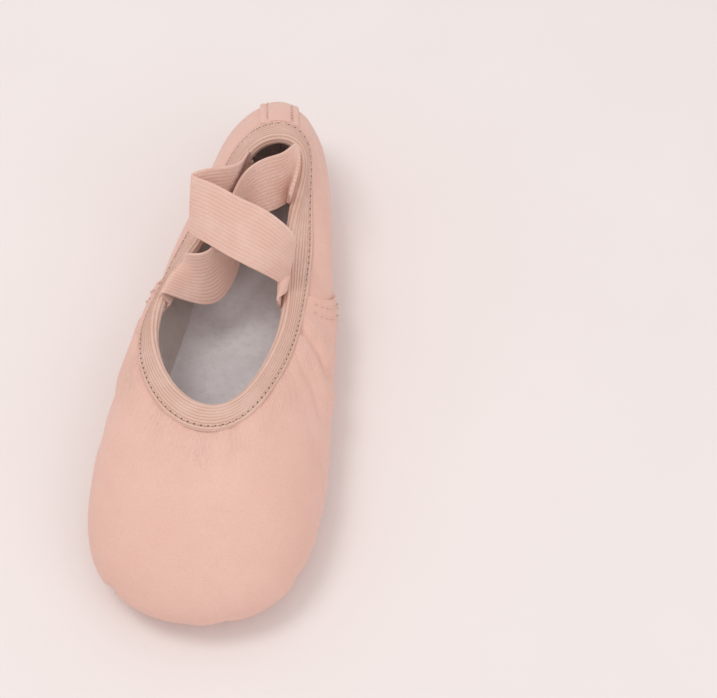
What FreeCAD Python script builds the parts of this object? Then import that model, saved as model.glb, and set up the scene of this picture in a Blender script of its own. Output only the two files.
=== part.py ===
import FreeCAD, Part
import os
from math import acos, cos, pi, radians, sin

# Ballet slipper with a full sole, a soft leather upper and two crossing elastic straps.
# Millimetres. +Z up, toe towards -Y, heel towards +Y. The outsole's bottom face lies on Z = 0.

doc = FreeCAD.newDocument("ballet_slipper")
sheet = doc.addObject("Spreadsheet::Sheet", "dims")

# Driving dimensions: alias, value.
DIMENSIONS = [
    ("outsole_thickness", 1.6),
    ("leather_thickness", 0.8),
    ("board_thickness", 0.8),
    ("foam_thickness", 1.0),
    ("sock_thickness", 0.8),
    ("lining_thickness", 0.5),
    ("stiffener_thickness", 0.4),
    ("binding_thickness", 0.8),
    ("strap_thickness", 1.0),
    ("backstay_thickness", 0.8),
    ("layer_gap", 0.1),
    ("flex_gap", 0.3),
    # Outline of the outsole's edge, seen from above.
    ("sole_toe_y", -76.0),
    ("sole_heel_y", 80.0),
    # Widest outline of the upper.
    ("girth_toe_y", -94.0),
    ("girth_heel_y", 94.0),
    # Edge of the foot opening.
    ("top_toe_y", -35.5),
    ("top_heel_y", 65.0),
    # Sideways lean of the outlines: of both at the heel, and of the opening at mid length.
    ("girth_heel_sway", 1.6),
    ("top_heel_sway", 7.8),
    ("top_middle_sway", -4.8),
    ("lasting_margin", 6.0),
    ("flex_line_y", -32.0),
    ("stitch_inset", 3.0),
    ("stitch_channel_width", 1.2),
    ("stitch_channel_depth", 0.7),
    ("thread_radius", 0.25),
    ("sole_stitch_pitch", 4.0),
    ("seam_stitch_pitch", 2.5),
    ("binding_stitch_pitch", 2.2),
    ("binding_outer_depth", 7.5),
    ("binding_inner_depth", 6.0),
    ("strap_width", 19.0),
    ("backstay_width", 13.0),
]
for row, (alias, value) in enumerate(DIMENSIONS, start=1):
    sheet.set("A%d" % row, alias)
    sheet.set("B%d" % row, str(value))
    sheet.setAlias("B%d" % row, alias)
doc.recompute()


def size(alias):
    return float(sheet.get(alias))


# Each outline is half_width(c) * sin(phi) across and an even sweep lengthwise, where c = cos(phi):
# phi is 0 at the middle of the toe and pi at the middle of the heel.
WIDTH_STATIONS = (1.0, 0.6, 0.0, -0.6, -1.0)
HEIGHT_STATIONS = (1.0, 0.35, -0.35, -1.0)
SOLE_WIDTHS = (36.0, 27.0, 11.0, 18.0, 28.0)
GIRTH_WIDTHS = (66.0, 45.0, 32.4, 28.5, 37.0)
TOP_WIDTHS = (24.5, 23.0, 20.0, 16.5, 27.0)
GIRTH_HEIGHTS = (13.0, 14.0, 16.0, 20.0)
TOP_HEIGHTS = (38.5, 33.0, 30.5, 47.5)
# How far the wall has turned inwards, in degrees, by the time it reaches the opening.
CURL_ANGLES = (80.0, 84.0, 46.0, 70.0)


def through(stations, values, position):
    """The polynomial through the given values, at one position."""
    total = 0.0
    for i, value in enumerate(values):
        for j, station in enumerate(stations):
            if j != i:
                value *= (position - station) / (stations[i] - station)
        total += value
    return total


def outline(phi, toe_y, heel_y, widths, inset=0.0):
    c = cos(phi)
    half_width = through(WIDTH_STATIONS, widths, c) - inset
    middle = (toe_y + heel_y) / 2
    half_length = (heel_y - toe_y) / 2 - inset
    return half_width * sin(phi), middle - half_length * c


SOLE_TOP = size("outsole_thickness") + size("layer_gap")


def sole_edge(phi, inset=0.0):
    x, y = outline(phi, size("sole_toe_y"), size("sole_heel_y"), SOLE_WIDTHS, inset)
    return FreeCAD.Vector(x, y, SOLE_TOP)


def girth(phi):
    x, y = outline(phi, size("girth_toe_y"), size("girth_heel_y"), GIRTH_WIDTHS)
    sway = size("girth_heel_sway") * ((1 - cos(phi)) / 2) ** 2
    return FreeCAD.Vector(x + sway, y, through(HEIGHT_STATIONS, GIRTH_HEIGHTS, cos(phi)))


def topline(phi):
    x, y = outline(phi, size("top_toe_y"), size("top_heel_y"), TOP_WIDTHS)
    rearward = (1 - cos(phi)) / 2
    sway = size("top_heel_sway") * rearward ** 2
    sway += size("top_middle_sway") * 4 * rearward * (1 - rearward)
    return FreeCAD.Vector(x + sway, y, through(HEIGHT_STATIONS, TOP_HEIGHTS, cos(phi)))


def mixed(low, high, across, upward):
    return FreeCAD.Vector(
        low.x + (high.x - low.x) * across,
        low.y + (high.y - low.y) * across,
        low.z + (high.z - low.z) * upward,
    )


def upper_surface(phi, level):
    """Outer face of the upper. Level -1 to 0 is the margin under the foot, 0 the outsole's edge,
    1 the widest line and 2 the opening's edge."""
    if level <= 0:
        return sole_edge(phi, -level * size("lasting_margin"))
    if level <= 1:
        turn = level * pi / 2
        return mixed(sole_edge(phi), girth(phi), sin(turn), 1 - cos(turn))
    curl = radians(through(HEIGHT_STATIONS, CURL_ANGLES, cos(phi)))
    turn = (level - 1) * curl
    return mixed(girth(phi), topline(phi), (1 - cos(turn)) / (1 - cos(curl)), sin(turn) / sin(curl))


def outward(phi, level):
    """Unit normal of the upper, pointing away from the foot."""
    step = 0.001
    round_it = upper_surface(phi + step, level) - upper_surface(phi - step, level)
    up_it = upper_surface(phi, min(level + step, 2)) - upper_surface(phi, min(level + step, 2) - 2 * step)
    return round_it.cross(up_it).normalize()


def layer_point(phi, level, depth):
    """A point at the given depth under the upper's outer face."""
    return upper_surface(phi, level) - outward(phi, level) * depth


def spread(start, end, count):
    return [start + (end - start) * i / (count - 1) for i in range(count)]


def curve_through(points):
    """Smooth curve through the points, at evenly spaced parameters."""
    curve = Part.BSplineCurve()
    last = len(points) - 1
    curve.interpolate(Points=points, Parameters=[i / last for i in range(last + 1)])
    return curve


def surface_through(grid):
    """Smooth surface through a grid of points: curves along its rows, then curves across them."""
    rows = [curve_through(points) for points in grid]
    columns = [curve_through(list(poles)) for poles in zip(*[row.getPoles() for row in rows])]
    surface = Part.BSplineSurface()
    surface.buildFromPolesMultsKnots(
        [list(poles) for poles in zip(*[column.getPoles() for column in columns])],
        columns[0].getMultiplicities(), rows[0].getMultiplicities(),
        columns[0].getKnots(), rows[0].getKnots(),
        False, False, columns[0].Degree, rows[0].Degree)
    return surface


def face_between(first, second):
    """Face of straight lines between two curves that share their knots."""
    surface = Part.BSplineSurface()
    surface.buildFromPolesMultsKnots(
        [first.getPoles(), second.getPoles()], [2, 2], first.getMultiplicities(),
        [0.0, 1.0], first.getKnots(), False, False, 1, first.Degree)
    return surface.toShape()


def thick_patch(outer, inner):
    """Solid between two grids of points of the same shape."""
    top = surface_through(outer)
    bottom = surface_through(inner)
    u0, u1, v0, v1 = top.bounds()
    faces = [top.toShape(), bottom.toShape()]
    for u in (u0, u1):
        faces.append(face_between(top.uIso(u), bottom.uIso(u)))
    for v in (v0, v1):
        faces.append(face_between(top.vIso(v), bottom.vIso(v)))
    shell = Part.makeShell(faces)
    shell.sewShape()
    solid = Part.makeSolid(shell)
    if solid.Volume < 0:
        solid.reverse()
    return solid


def add_feature(name, shape):
    feature = doc.addObject("Part::Feature", name)
    feature.Label = name
    feature.Shape = shape
    feature.Placement = FreeCAD.Placement()
    return feature


def upper_piece(name, phi_at, level_range, depth, thickness, counts):
    """One layer of the upper. phi_at(level) gives the angle it starts and ends at."""
    across, upward = counts
    outer = []
    inner = []
    for step in range(across):
        share = step / (across - 1)
        outer.append([])
        inner.append([])
        for level in spread(level_range[0], level_range[1], upward):
            start, end = phi_at(level)
            phi = start + (end - start) * share
            outer[-1].append(layer_point(phi, level, depth))
            inner[-1].append(layer_point(phi, level, depth + thickness))
    return add_feature(name, thick_patch(outer, inner))


# Layers of the upper, from the outside in.
GAP = size("layer_gap")
LEATHER = size("leather_thickness")
STIFFENER_DEPTH = LEATHER + GAP
LINING_DEPTH = STIFFENER_DEPTH + size("stiffener_thickness") + GAP
INSIDE_DEPTH = LINING_DEPTH + size("lining_thickness") + GAP


def side_seam(level):
    """Angle of the side seam, which leans back towards the heel on its way down."""
    return radians(106.0 - 12.5 * max(level - 1, 0))


SEAM_GAP = radians(0.25)


def vamp_span(level):
    return -side_seam(level) + SEAM_GAP, side_seam(level) - SEAM_GAP


def right_quarter_span(level):
    return side_seam(level) + SEAM_GAP, pi - SEAM_GAP


def left_quarter_span(level):
    start, end = right_quarter_span(level)
    return -end, -start


LINING_START = 0.42
LINING_TOP = 1.99
upper_piece("vamp", vamp_span, (-1.0, 2.0), 0.0, LEATHER, (33, 19))
upper_piece("vamp_lining", vamp_span, (LINING_START, LINING_TOP), LINING_DEPTH,
            size("lining_thickness"), (33, 9))
for side, span in (("right", right_quarter_span), ("left", left_quarter_span)):
    upper_piece("quarter_" + side, span, (-1.0, 2.0), 0.0, LEATHER, (17, 19))
    upper_piece("quarter_lining_" + side, span, (LINING_START, LINING_TOP), LINING_DEPTH,
                size("lining_thickness"), (17, 9))


def stiffener_span(level):
    return radians(150), radians(210)


upper_piece("heel_stiffener", stiffener_span, (0.75, 1.7), STIFFENER_DEPTH,
            size("stiffener_thickness"), (13, 9))


def backstay_span(level):
    """The backstay has the same width all the way up the heel."""
    step = radians(1)
    per_degree = (upper_surface(pi + step, level) - upper_surface(pi - step, level)).Length / 2
    half_turn = size("backstay_width") / 2 / per_degree * step
    return pi - half_turn, pi + half_turn


BACKSTAY_LEVELS = (0.3, 1.78)
upper_piece("backstay", backstay_span, BACKSTAY_LEVELS, -size("backstay_thickness") - GAP,
            size("backstay_thickness"), (7, 15))


# Flat layers under the foot, each in a front and a rear part that meet at the flex line.
def plate_outline(phi, spread_out, inset):
    low = sole_edge(phi)
    high = girth(phi)
    point = mixed(low, high, spread_out, 0)
    if inset:
        x, y = outline(phi, size("sole_toe_y"), size("sole_heel_y"), SOLE_WIDTHS, inset)
        point = FreeCAD.Vector(x, y, 0)
    point.z = 0
    return point


def flex_angle(spread_out, inset, line_y):
    """Angle at which a plate's outline crosses the given line across the foot."""
    front = plate_outline(0, spread_out, inset).y
    rear = plate_outline(pi, spread_out, inset).y
    return acos(((front + rear) / 2 - line_y) / ((rear - front) / 2))


def outline_points(start, end, spread_out, inset, count):
    return [plate_outline(phi, spread_out, inset) for phi in spread(start, end, count)]


def open_curve(points):
    curve = Part.BSplineCurve()
    curve.interpolate(points)
    return curve


def plan_sketch(body, name, curves):
    """Sketch in the body's own XY plane, of the curves joined end to end by straight lines."""
    sketch = body.newObject("Sketcher::SketchObject", name)
    planes = [f for f in body.Origin.OriginFeatures if f.Role == "XY_Plane"]
    sketch.AttachmentSupport = [(planes[0], "")]
    sketch.MapMode = "FlatFace"
    for index, curve in enumerate(curves):
        following = curves[(index + 1) % len(curves)]
        sketch.addGeometry(curve, False)
        sketch.addGeometry(Part.LineSegment(curve.EndPoint, following.StartPoint), False)
    return sketch


def part_angles(part, spread_out, inset):
    half_gap = size("flex_gap") / 2
    if part == "forepart":
        turn = flex_angle(spread_out, inset, size("flex_line_y") - half_gap)
        return -turn, turn
    turn = flex_angle(spread_out, inset, size("flex_line_y") + half_gap)
    return turn, 2 * pi - turn


OUTLINE_POINTS = 25


def plate(name, part, spread_out, inset, bottom, thickness_alias):
    """Flat layer, padded up from the sketch of its outline."""
    body = doc.addObject("PartDesign::Body", name)
    body.Label = name
    start, end = part_angles(part, spread_out, inset)
    curve = open_curve(outline_points(start, end, spread_out, inset, OUTLINE_POINTS))
    pad = body.newObject("PartDesign::Pad", name + "_pad")
    pad.Profile = plan_sketch(body, name + "_outline", [curve])
    pad.setExpression("Length", "dims." + thickness_alias)
    body.setExpression("Placement.Base.z", bottom)
    return body


def add_channel(body, part):
    """Groove in the underside that the sole's thread lies in."""
    near = size("stitch_inset") - size("stitch_channel_width") / 2
    far = size("stitch_inset") + size("stitch_channel_width") / 2
    angles = part_angles(part, 0, near)
    inner_angles = part_angles(part, 0, far)
    past = radians(4)
    outer_line = open_curve(
        outline_points(angles[0] - past, angles[1] + past, 0, near, OUTLINE_POINTS))
    inner_line = open_curve(
        outline_points(inner_angles[1] + past, inner_angles[0] - past, 0, far, OUTLINE_POINTS))
    pocket = body.newObject("PartDesign::Pocket", body.Name + "_channel")
    pocket.Profile = plan_sketch(body, body.Name + "_channel_lines", [outer_line, inner_line])
    pocket.setExpression("Length", "dims.stitch_channel_depth")
    pocket.Reversed = True


BOARD_BOTTOM = "dims.outsole_thickness + dims.leather_thickness + 2 * dims.layer_gap"
FOAM_BOTTOM = BOARD_BOTTOM + " + dims.board_thickness + dims.layer_gap"
SOCK_BOTTOM = FOAM_BOTTOM + " + dims.foam_thickness + dims.layer_gap"
# The foam and the sock lining reach this share of the way from the outsole's outline to the girth.
FOAM_SPREAD = 0.2
SOCK_SPREAD = 0.4
BOARD_INSET = 1.0
for part in ("forepart", "rear"):
    outsole = plate("outsole_" + part, part, 0, 0, "0 mm", "outsole_thickness")
    add_channel(outsole, part)
    plate("insole_board_" + part, part, 0, BOARD_INSET, BOARD_BOTTOM, "board_thickness")
    plate("foam_pad_" + part, part, FOAM_SPREAD, 0, FOAM_BOTTOM, "foam_thickness")
    plate("sock_lining_" + part, part, SOCK_SPREAD, 0, SOCK_BOTTOM, "sock_thickness")


# Binding: an elastic band folded over the edge of the opening, joined at the back of the heel.
FOLD_RADIUS = (INSIDE_DEPTH + GAP) / 2


def fold(phi):
    """Centre of the binding's fold, the upper's outward normal there, and the way out of the wall."""
    edge = upper_surface(phi, 2.0)
    out = outward(phi, 2.0)
    along = (upper_surface(phi + 0.001, 2.0) - upper_surface(phi - 0.001, 2.0)).normalize()
    onward = out.cross(along)
    if (edge - upper_surface(phi, 1.99)).dot(onward) < 0:
        onward = onward * -1
    return edge - out * (FOLD_RADIUS - GAP) + onward * GAP, out, onward


def round_fold(phi, radius, turn):
    """Point at this radius round the fold: turn 0 is outside the upper, pi inside it."""
    centre, out, onward = fold(phi)
    return centre + out * (radius * cos(turn)) + onward * (radius * sin(turn))


def binding_profile(phi, offset):
    """Points from the band's outer edge, over the fold, to its inner edge."""
    points = []
    for depth in spread(size("binding_outer_depth"), 1.5, 5):
        points.append(layer_point(phi, level_below(phi, depth), -GAP - offset))
    for turn in spread(0, pi, 5):
        points.append(round_fold(phi, FOLD_RADIUS + offset, turn))
    for depth in spread(1.5, size("binding_inner_depth"), 4):
        points.append(layer_point(phi, level_below(phi, depth), INSIDE_DEPTH + offset))
    return points


def level_below(phi, depth):
    """Level of the line that runs this far below the opening's edge."""
    step = 0.01
    level = 2.0
    travelled = 0.0
    while True:
        length = (upper_surface(phi, level - step) - upper_surface(phi, level)).Length
        if travelled + length >= depth:
            return level - step * (depth - travelled) / length
        travelled += length
        level -= step


BINDING_END = radians(0.4)
outer = []
inner = []
for phi in spread(-pi + BINDING_END, pi - BINDING_END, 49):
    outer.append(binding_profile(phi, size("binding_thickness")))
    inner.append(binding_profile(phi, 0.0))
add_feature("topline_binding", thick_patch(outer, inner))


# Straps: flat elastic bands that cross over the instep. Each has two ends sewn to the inside of
# the upper and a free length between them.
STRAP_DEPTH = INSIDE_DEPTH + size("binding_thickness") + GAP
STRAP_END_TOP = 1.97
STRAP_END_BOTTOM = 1.66
STRAP_CLEARANCE = 0.35


def angle_for_length(phi, level, length):
    """Change of phi that moves this far round the upper."""
    step = radians(1)
    per_step = (upper_surface(phi + step, level) - upper_surface(phi - step, level)).Length / 2
    return length / per_step * step


def upright(phi, level):
    """Angle that lies straight below the opening's edge at phi, seen from the side."""
    target = topline(phi).y
    low, high = sorted((phi * 0.8, phi * 1.2))
    for _ in range(30):
        middle = (low + high) / 2
        if (upper_surface(middle, level).y < target) == (phi > 0):
            low = middle
        else:
            high = middle
    return (low + high) / 2


def strap_end(name, phi):
    half_turn = angle_for_length(phi, 2.0, size("strap_width") / 2)

    def span(level):
        middle = upright(phi, level)
        return middle - half_turn, middle + half_turn

    upper_piece(name, span, (STRAP_END_BOTTOM, STRAP_END_TOP), STRAP_DEPTH,
                size("strap_thickness"), (7, 5))


def anchor_rows(phi):
    """Rows of points across a strap where it leaves its sewn end: round the inside of the
    binding's fold, then just above it."""
    half_turn = angle_for_length(phi, 2.0, size("strap_width") / 2)
    radius = FOLD_RADIUS + size("binding_thickness") + size("strap_thickness") / 2 + STRAP_CLEARANCE
    ends = (-half_turn, half_turn) if phi > 0 else (half_turn, -half_turn)
    turns = [phi + turn for turn in spread(ends[0], ends[1], 5)]
    rows = [[round_fold(turn, radius, radians(angle)) for turn in turns] for angle in (180, 145, 110)]
    rows.append([round_fold(turn, radius, radians(95)) + FreeCAD.Vector(0, 0, 4) for turn in turns])
    return rows


def strap(name, first_phi, stations, last_phi):
    """Band through the stations: points of its middle line, each with its crosswise direction."""
    strap_end(name + "_rear_end", first_phi)
    strap_end(name + "_front_end", last_phi)
    half = size("strap_width") / 2
    rows = anchor_rows(first_phi)
    for place, across in stations:
        across = FreeCAD.Vector(*across).normalize()
        rows.append([FreeCAD.Vector(*place) + across * (half * side) for side in (-1, -0.5, 0, 0.5, 1)])
    rows.extend(reversed(anchor_rows(last_phi)))
    middle = surface_through(rows)
    u0, u1, v0, v1 = middle.bounds()
    outer = []
    inner = []
    for u in spread(u0, u1, 41):
        outer.append([])
        inner.append([])
        for v in spread(v0, v1, 5):
            point = middle.value(u, v)
            shift = middle.normal(u, v) * (size("strap_thickness") / 2)
            outer[-1].append(point + shift)
            inner[-1].append(point - shift)
    add_feature(name, thick_patch(outer, inner))
    print(name, "anchors", rows[0][2], rows[-1][2])


STRAP_END_ANGLES = [radians(degrees) for degrees in (-140, 95, 145, -91)]

strap("strap_a", STRAP_END_ANGLES[0], [
    ((-5.1, 44.6, 44.0), (0.21, 0.41, 0.89)),
    ((-11.1, 39.0, 47.0), (0.13, 0.49, 0.86)),
    ((-16.7, 34.4, 48.0), (0.02, 0.6, 0.8)),
    ((-10.0, 29.8, 49.5), (0.04, 0.79, 0.61)),
    ((-0.5, 24.6, 50.0), (0.1, 0.79, 0.61)),
    ((8.6, 22.2, 47.0), (0.11, 0.79, 0.61)),
    ((17.1, 19.2, 40.5), (0.17, 0.38, 0.91)),
], STRAP_END_ANGLES[1])
strap("strap_b", STRAP_END_ANGLES[2], [
    ((11.0, 52.0, 42.5), (-0.04, 0.35, 0.93)),
    ((5.8, 48.2, 42.5), (-0.05, 0.49, 0.87)),
    ((0.1, 44.7, 41.5), (-0.01, 0.38, 0.92)),
    ((-2.7, 40.5, 38.0), (-0.1, 0.2, 0.98)),
    ((-4.0, 32.7, 34.5), (-0.2, -0.04, 0.98)),
    ((-6.1, 21.2, 33.0), (-0.31, -0.02, 0.95)),
    ((-13.3, 16.0, 32.0), (-0.31, 0.45, 0.84)),
], STRAP_END_ANGLES[3])


# Stitches: short lengths of thread that lie on the surface, one solid each.
def stitch(start, end):
    line = end - start
    return Part.makeCylinder(size("thread_radius"), line.Length, start, line)


def stitch_row(line, pitch, fill):
    """Stitches along a line of points, one per pitch, each covering part of its pitch."""
    lengths = [0.0]
    for before, after in zip(line, line[1:]):
        lengths.append(lengths[-1] + (after - before).Length)
    total = lengths[-1]
    count = int(total / pitch)

    def at(distance):
        for i in range(1, len(line)):
            if distance <= lengths[i] or i == len(line) - 1:
                share = (distance - lengths[i - 1]) / (lengths[i] - lengths[i - 1])
                return line[i - 1] + (line[i] - line[i - 1]) * share

    margin = (total - count * pitch) / 2 + pitch * (1 - fill) / 2
    return [stitch(at(margin + i * pitch), at(margin + i * pitch + pitch * fill)) for i in range(count)]


# Stitches stand just clear of the leather. Each covers this share of its pitch.
ON_TOP = size("thread_radius") + 0.05
SOLE_FILL = 0.75
SEAM_FILL = 0.65
BINDING_FILL = 0.6
# Rows on the vamp, in front of its edge at the side seam.
SEAM_ROW_TURNS = (radians(2.4), radians(5.0))
SEAM_ROW_LEVELS = (0.25, 1.66)
# Rows on the backstay, at this share of its half width.
BACKSTAY_ROW = 0.72
BACKSTAY_ROW_MARGIN = 0.03
for part in ("forepart", "rear"):
    start, end = part_angles(part, 0, size("stitch_inset"))
    line = outline_points(start, end, 0, size("stitch_inset"), 161)
    height = FreeCAD.Vector(0, 0, size("stitch_channel_depth") / 2)
    add_feature("outsole_thread_" + part, Part.makeCompound(
        stitch_row([point + height for point in line], size("sole_stitch_pitch"), SOLE_FILL)))

for side, sign in (("right", 1), ("left", -1)):
    stitches = []
    for row_turn in SEAM_ROW_TURNS:
        line = [layer_point(sign * (side_seam(level) - row_turn), level, -ON_TOP)
                for level in spread(SEAM_ROW_LEVELS[0], SEAM_ROW_LEVELS[1], 60)]
        stitches += stitch_row(line, size("seam_stitch_pitch"), SEAM_FILL)
    add_feature("side_seam_thread_" + side, Part.makeCompound(stitches))

stitches = []
for edge in (-1, 1):
    line = []
    start_level = BACKSTAY_LEVELS[0] + BACKSTAY_ROW_MARGIN
    end_level = BACKSTAY_LEVELS[1] - BACKSTAY_ROW_MARGIN
    for level in spread(start_level, end_level, 60):
        start, end = backstay_span(level)
        phi = pi + edge * (end - start) / 2 * BACKSTAY_ROW
        line.append(layer_point(phi, level, -size("backstay_thickness") - GAP - ON_TOP))
    stitches += stitch_row(line, size("seam_stitch_pitch"), SEAM_FILL)
add_feature("backstay_thread", Part.makeCompound(stitches))

BINDING_ROW_DEPTH = size("binding_outer_depth") - 1.7
BINDING_ROW_HEIGHT = GAP + size("binding_thickness") + ON_TOP + 0.05
BINDING_ROW_END = radians(3)
line = [layer_point(phi, level_below(phi, BINDING_ROW_DEPTH), -BINDING_ROW_HEIGHT)
        for phi in spread(-pi + BINDING_ROW_END, pi - BINDING_ROW_END, 241)]
add_feature("binding_thread", Part.makeCompound(
    stitch_row(line, size("binding_stitch_pitch"), BINDING_FILL)))

# Two rows across each sewn strap end.
STRAP_ROW_INSET = 1.5
STRAP_ROW_LEVELS = (STRAP_END_BOTTOM + 0.05, STRAP_END_TOP - 0.08)
stitches = []
for phi in STRAP_END_ANGLES:
    half_turn = angle_for_length(phi, 2.0, size("strap_width") / 2 - STRAP_ROW_INSET)
    for level in STRAP_ROW_LEVELS:
        middle = upright(phi, level)
        line = [layer_point(turn, level, STRAP_DEPTH + size("strap_thickness") + ON_TOP)
                for turn in spread(middle - half_turn, middle + half_turn, 25)]
        stitches += stitch_row(line, size("seam_stitch_pitch"), SEAM_FILL)
add_feature("strap_end_thread", Part.makeCompound(stitches))

doc.recompute()

leaves = [obj for obj in doc.Objects if obj.isDerivedFrom("Part::Feature")
          and (obj.TypeId == "PartDesign::Body" or obj.TypeId == "Part::Feature")]
for obj in doc.Objects:
    if "Invalid" in obj.State or "Error" in obj.State:
        raise RuntimeError("%s did not recompute: %s" % (obj.Label, obj.State))
for obj in leaves:
    if obj.Shape.isNull() or not obj.Shape.isValid():
        raise RuntimeError("%s has no valid shape" % obj.Label)
    for solid in obj.Shape.Solids:
        if solid.Volume <= 0:
            raise RuntimeError("%s has a solid with no volume" % obj.Label)

os.makedirs("parts", exist_ok=True)
for obj in leaves:
    obj.Shape.exportStep("parts/%s.step" % obj.Label)
    print(obj.Label, len(obj.Shape.Solids), "solids", round(obj.Shape.Volume, 1), "mm3")
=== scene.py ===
"""Looks of the ballet slipper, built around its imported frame.

Lengths are worked out in millimetres and turned into metres where a mesh is made. The upper's shape
is the same set of outlines as the frame's: an angle phi runs round the slipper, from 0 at the middle
of the toe to pi at the middle of the heel, and a level runs up the wall, from the outsole's edge (0)
through the widest line (1) to the edge of the opening (2).
"""

import bmesh
import bpy
import numpy as np
from mathutils import Matrix, Vector


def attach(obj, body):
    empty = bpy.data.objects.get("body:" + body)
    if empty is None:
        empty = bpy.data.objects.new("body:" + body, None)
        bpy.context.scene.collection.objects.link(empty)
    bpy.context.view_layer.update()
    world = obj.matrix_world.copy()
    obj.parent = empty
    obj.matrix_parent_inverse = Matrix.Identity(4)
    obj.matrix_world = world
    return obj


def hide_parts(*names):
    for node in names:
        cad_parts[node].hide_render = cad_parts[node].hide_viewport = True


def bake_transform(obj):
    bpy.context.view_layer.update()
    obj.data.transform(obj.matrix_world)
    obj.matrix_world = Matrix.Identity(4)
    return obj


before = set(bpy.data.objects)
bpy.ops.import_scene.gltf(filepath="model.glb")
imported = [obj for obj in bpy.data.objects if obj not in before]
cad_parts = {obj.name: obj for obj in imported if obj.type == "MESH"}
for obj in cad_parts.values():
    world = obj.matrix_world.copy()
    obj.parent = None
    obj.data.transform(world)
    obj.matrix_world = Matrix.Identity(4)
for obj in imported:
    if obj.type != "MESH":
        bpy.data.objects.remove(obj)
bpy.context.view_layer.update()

MM = 0.001
PI = np.pi

# ---------------------------------------------------------------- sizes shared with the frame
LEATHER = 0.8
GAP = 0.1
LINING_DEPTH = 1.4
INSIDE_DEPTH = 2.0
BINDING = 0.8
STRAP = 1.0
STRAP_WIDTH = 19.0
MARGIN = 6.0
SOLE_TOP = 1.7
OUTSOLE = (0.0, 1.6)
BOARD = (2.6, 3.4)
FOAM = (3.5, 4.5)
SOCK = (4.6, 5.4)
# Where the side seams run, in degrees from the toe, and how far they lean forward at the opening.
SEAM_ANGLE = 106.0
SEAM_LEAN = 12.5
# Half the gap between the vamp and a quarter, in the leather and in the lining.
SEAM_GAP = np.radians(0.25)
LINING_SEAM_GAP = np.radians(0.02)
# Even lengths for patterns: millimetres per radian round the wall and per level up it.
MM_PER_TURN = 46.0
MM_PER_LEVEL = 34.0

WIDTH_STATIONS = (1.0, 0.6, 0.0, -0.6, -1.0)
HEIGHT_STATIONS = (1.0, 0.35, -0.35, -1.0)
SOLE = {"toe": -76.0, "heel": 80.0, "widths": (36.0, 27.0, 11.0, 18.0, 28.0)}
GIRTH = {"toe": -94.0, "heel": 94.0, "widths": (66.0, 45.0, 32.4, 28.5, 37.0),
         "heights": (13.0, 14.0, 16.0, 20.0), "heel_sway": 1.6, "middle_sway": 0.0}
TOP = {"toe": -35.5, "heel": 65.0, "widths": (24.5, 23.0, 20.0, 16.5, 27.0),
       "heights": (38.5, 33.0, 30.5, 47.5), "heel_sway": 7.8, "middle_sway": -4.8}
CURL_ANGLES = (80.0, 84.0, 46.0, 70.0)


# ---------------------------------------------------------------- the upper's surface
def through(stations, values, position):
    """The polynomial through the given values, at an array of positions."""
    total = 0.0
    for i, value in enumerate(values):
        term = value
        for j, station in enumerate(stations):
            if j != i:
                term = term * (position - station) / (stations[i] - station)
        total = total + term
    return total


def outline(ring, phi, inset=0.0):
    c = np.cos(phi)
    half_width = through(WIDTH_STATIONS, ring["widths"], c) - inset
    half_length = (ring["heel"] - ring["toe"]) / 2 - inset
    x = half_width * np.sin(phi)
    if "heel_sway" in ring:
        rearward = (1 - c) / 2
        x = x + ring["heel_sway"] * rearward ** 2 + ring["middle_sway"] * 4 * rearward * (1 - rearward)
    return x, (ring["toe"] + ring["heel"]) / 2 - half_length * c


def sole_edge(phi, inset=0.0):
    x, y = outline(SOLE, phi, inset)
    return np.stack([x, y, np.full_like(x, SOLE_TOP)], -1)


def raised_ring(ring, phi):
    x, y = outline(ring, phi)
    return np.stack([x, y, through(HEIGHT_STATIONS, ring["heights"], np.cos(phi))], -1)


def upper_surface(phi, level):
    """Outer face of the upper. Levels from -1 to 0 are the margin under the foot."""
    phi, level = np.broadcast_arrays(np.asarray(phi, float), np.asarray(level, float))
    low = sole_edge(phi, np.clip(-level, 0, 1) * MARGIN)
    girth = raised_ring(GIRTH, phi)
    top = raised_ring(TOP, phi)
    turn = np.clip(level, 0, 1) * PI / 2
    across = np.sin(turn)[..., None]
    upward = (1 - np.cos(turn))[..., None]
    bottom = np.concatenate([low[..., :2] + (girth - low)[..., :2] * across,
                             low[..., 2:] + (girth - low)[..., 2:] * upward], -1)
    curl = np.radians(through(HEIGHT_STATIONS, CURL_ANGLES, np.cos(phi)))
    turn = np.maximum(level - 1, 0) * curl
    across = ((1 - np.cos(turn)) / (1 - np.cos(curl)))[..., None]
    upward = (np.sin(turn) / np.sin(curl))[..., None]
    wall = np.concatenate([girth[..., :2] + (top - girth)[..., :2] * across,
                           girth[..., 2:] + (top - girth)[..., 2:] * upward], -1)
    return np.where((level <= 1)[..., None], bottom, wall)


def unit(v):
    return v / np.maximum(np.linalg.norm(v, axis=-1, keepdims=True), 1e-9)


def outward(phi, level):
    step = 0.001
    high = np.minimum(level + step, 2.0)
    round_it = upper_surface(phi + step, level) - upper_surface(phi - step, level)
    up_it = upper_surface(phi, high) - upper_surface(phi, high - 2 * step)
    return unit(np.cross(round_it, up_it))


def layer(phi, level, depth):
    """Points at a depth under the upper's outer face."""
    depth = np.asarray(depth, float)
    return upper_surface(phi, level) - outward(phi, level) * depth[..., None]


def side_seam(level):
    return np.radians(SEAM_ANGLE - SEAM_LEAN * np.maximum(level - 1, 0))


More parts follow.
